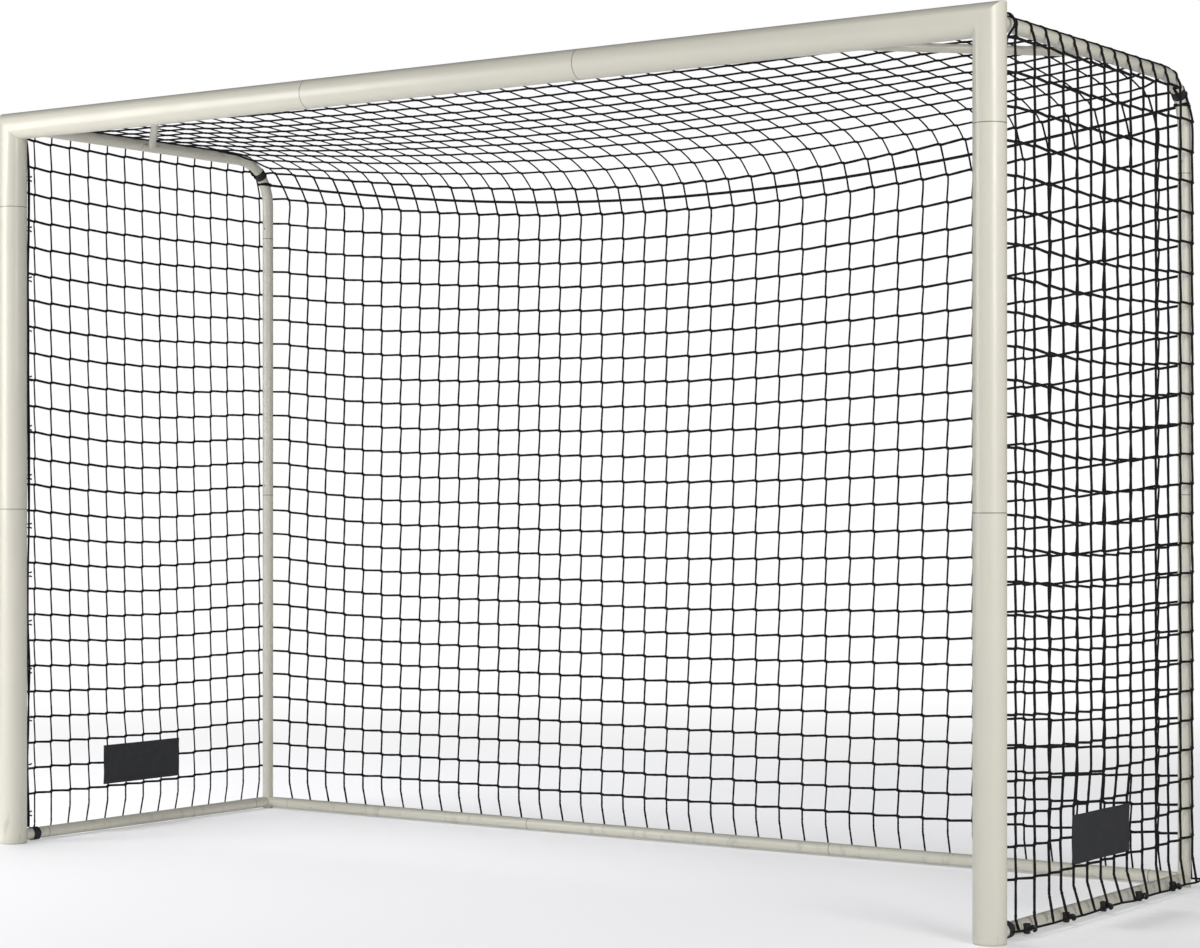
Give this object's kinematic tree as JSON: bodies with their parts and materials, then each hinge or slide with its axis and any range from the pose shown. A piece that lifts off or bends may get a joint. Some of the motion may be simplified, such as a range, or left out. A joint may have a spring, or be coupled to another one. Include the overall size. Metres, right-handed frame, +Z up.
{
  "type": "soccer goal frame",
  "caption": "Free-standing soccer goal: thick round front frame, thin tubular depth frame with diagonal corner braces and spring-button joints, and a knotted square-mesh net.",
  "frame": {"origin": "on the ground, at the middle of the goal's box", "axes": "+X across the goal mouth, +Y from the front frame towards the back of the goal, +Z up"},
  "size_m": [3.152, 1.1418, 2.076],
  "materials": {
    "cream_paint": "semi-gloss powder coat with fine orange peel",
    "inner_steel": "plain drawn tube, galvanised",
    "zinc": "bright zinc plate",
    "cap_plastic": "moulded, fine grain",
    "black_strap": "woven hook-and-loop tape",
    "net_twine": "braided twine, knotted",
    "rope": "braided rope",
    "patch_fabric": "coated cloth with a hemmed edge, blank"
  },
  "bodies": {
    "frame": {"brace_screw_bar_left_1": "zinc", "brace_screw_bar_left_2": "zinc", "brace_screw_bar_right_1": "zinc", "brace_screw_bar_right_2": "zinc", "brace_screw_tube_left_1": "zinc", "brace_screw_tube_left_2": "zinc", "brace_screw_tube_right_1": "zinc", "brace_screw_tube_right_2": "zinc", "button_spring_lower_left": "zinc", "button_spring_lower_right": "zinc", "button_spring_upper_left": "zinc", "button_spring_upper_right": "zinc", "corner_brace_left": "cream_paint", "corner_brace_right": "cream_paint", "corner_left": "cream_paint", "corner_right": "cream_paint", "crossbar_middle": "cream_paint", "crossbar_sleeve_left": "inner_steel", "crossbar_sleeve_right": "inner_steel", "foot_cap_left": "cap_plastic", "foot_cap_right": "cap_plastic", "front_ground_stub_left": "cream_paint", "front_ground_stub_right": "cream_paint", "ground_strap_left": "black_strap", "ground_strap_right": "black_strap", "label_patch_left": "patch_fabric", "label_patch_right": "patch_fabric", "lower_post_left": "cream_paint", "lower_post_right": "cream_paint", "net_back": "net_twine", "net_left": "net_twine", "net_right": "net_twine", "net_roof": "net_twine", "post_sleeve_lower_left": "inner_steel", "post_sleeve_lower_right": "inner_steel", "post_sleeve_upper_left": "inner_steel", "post_sleeve_upper_right": "inner_steel", "rear_corner_left": "cream_paint", "rear_corner_plug_left": "cap_plastic", "rear_corner_plug_right": "cap_plastic", "rear_corner_right": "cream_paint", "rear_ground_tube_left": "cream_paint", "rear_ground_tube_middle": "cream_paint", "rear_ground_tube_right": "cream_paint", "rear_upright_left": "cream_paint", "rear_upright_right": "cream_paint", "side_ground_tube_left": "cream_paint", "side_ground_tube_right": "cream_paint", "side_top_tube_left": "cream_paint", "side_top_tube_right": "cream_paint", "tension_rope": "rope", "top_strap_left": "black_strap", "top_strap_right": "black_strap", "upper_post_left": "cream_paint", "upper_post_right": "cream_paint"},
    "snap_button_lower_left": {"snap_button_lower_left": "zinc"},
    "snap_button_lower_right": {"snap_button_lower_right": "zinc"},
    "snap_button_upper_left": {"snap_button_upper_left": "zinc"},
    "snap_button_upper_right": {"snap_button_upper_right": "zinc"}
  },
  "joints": [
    {"name": "snap_button_lower_left_press", "type": "slide", "parent": "frame", "child": "snap_button_lower_left", "axis": [0, 1, 0], "range_m": [0, 0.0045], "stiffness_N_per_m": 600, "springref_m": -0.003, "deforming": ["button_spring_lower_left"]},
    {"name": "snap_button_lower_right_press", "type": "slide", "parent": "frame", "child": "snap_button_lower_right", "axis": [0, 1, 0], "range_m": [0, 0.0045], "stiffness_N_per_m": 600, "springref_m": -0.003, "deforming": ["button_spring_lower_right"]},
    {"name": "snap_button_upper_left_press", "type": "slide", "parent": "frame", "child": "snap_button_upper_left", "axis": [0, 1, 0], "range_m": [0, 0.0045], "stiffness_N_per_m": 600, "springref_m": -0.003, "deforming": ["button_spring_upper_left"]},
    {"name": "snap_button_upper_right_press", "type": "slide", "parent": "frame", "child": "snap_button_upper_right", "axis": [0, 1, 0], "range_m": [0, 0.0045], "stiffness_N_per_m": 600, "springref_m": -0.003, "deforming": ["button_spring_upper_right"]}
  ]
}
